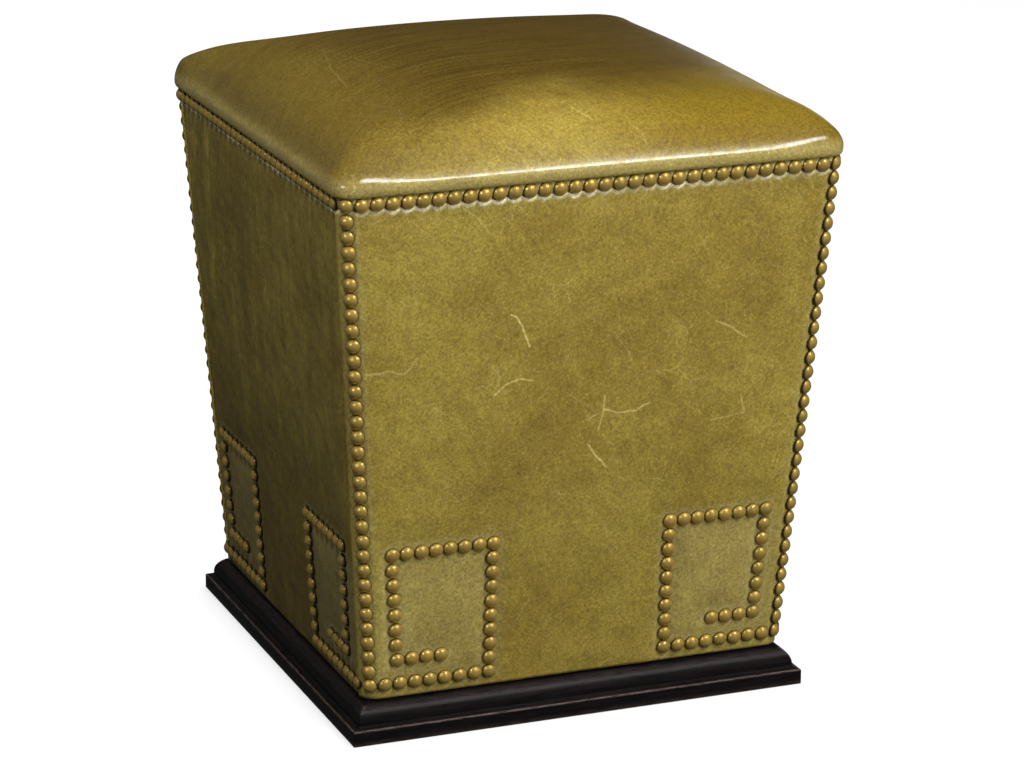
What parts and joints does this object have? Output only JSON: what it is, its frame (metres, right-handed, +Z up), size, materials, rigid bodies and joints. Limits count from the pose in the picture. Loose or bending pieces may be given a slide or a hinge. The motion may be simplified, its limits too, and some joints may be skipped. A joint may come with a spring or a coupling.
{
  "type": "upholstered footstool",
  "caption": "Square leather-covered footstool that narrows towards a dark moulded plinth, with a crowned top and domed brass nails in rows and corner keys.",
  "frame": {"origin": "on the floor under the middle of the plinth", "axes": "+Z up; -Y out of the front face, which is the wide bright face of the picture; +X to the right seen from the front"},
  "size_m": [0.441, 0.441, 0.5238],
  "materials": {
    "leather": "distressed olive-gold hide, semi-gloss, with fine grain, veins and pale scratches",
    "nail_brass": "antique brass, polished domes with darkened rims",
    "stained_wood": "near-black espresso stain under satin lacquer, worn lighter along the arrises",
    "frame_wood": "planed softwood, unfinished",
    "plywood": "birch plywood, unfinished",
    "foam": "open-cell upholstery foam, matt",
    "wadding": "polyester wadding, matt",
    "dust_cloth": "black woven dust cloth, matt",
    "screw_steel": "zinc-plated steel"
  },
  "bodies": {
    "root": {"plinth_front": "stained_wood", "bottom_rail_front": "frame_wood", "top_rail_front": "frame_wood", "side_panel_front": "plywood", "side_padding_front": "wadding", "side_cover_front": "leather", "nail_row_front": "nail_brass", "nail_key_front_left_end": "nail_brass", "nail_key_front_right_end": "nail_brass", "plinth_right": "stained_wood", "bottom_rail_right": "frame_wood", "top_rail_right": "frame_wood", "side_panel_right": "plywood", "side_padding_right": "wadding", "side_cover_right": "leather", "nail_row_right": "nail_brass", "nail_key_right_left_end": "nail_brass", "nail_key_right_right_end": "nail_brass", "plinth_back": "stained_wood", "bottom_rail_back": "frame_wood", "top_rail_back": "frame_wood", "side_panel_back": "plywood", "side_padding_back": "wadding", "side_cover_back": "leather", "nail_row_back": "nail_brass", "nail_key_back_left_end": "nail_brass", "nail_key_back_right_end": "nail_brass", "plinth_left": "stained_wood", "bottom_rail_left": "frame_wood", "top_rail_left": "frame_wood", "side_panel_left": "plywood", "side_padding_left": "wadding", "side_cover_left": "leather", "nail_row_left": "nail_brass", "nail_key_left_left_end": "nail_brass", "nail_key_left_right_end": "nail_brass", "corner_block_front_right": "frame_wood", "block_screw_front_right": "screw_steel", "corner_post_front_right": "frame_wood", "nail_column_front_right": "nail_brass", "corner_block_back_right": "frame_wood", "block_screw_back_right": "screw_steel", "corner_post_back_right": "frame_wood", "nail_column_back_right": "nail_brass", "corner_block_back_left": "frame_wood", "block_screw_back_left": "screw_steel", "corner_post_back_left": "frame_wood", "nail_column_back_left": "nail_brass", "corner_block_front_left": "frame_wood", "block_screw_front_left": "screw_steel", "corner_post_front_left": "frame_wood", "nail_column_front_left": "nail_brass", "base_board": "plywood", "dust_cloth": "dust_cloth", "seat_deck": "plywood", "foam_cushion": "foam", "top_cover": "leather"}
  },
  "joints": []
}
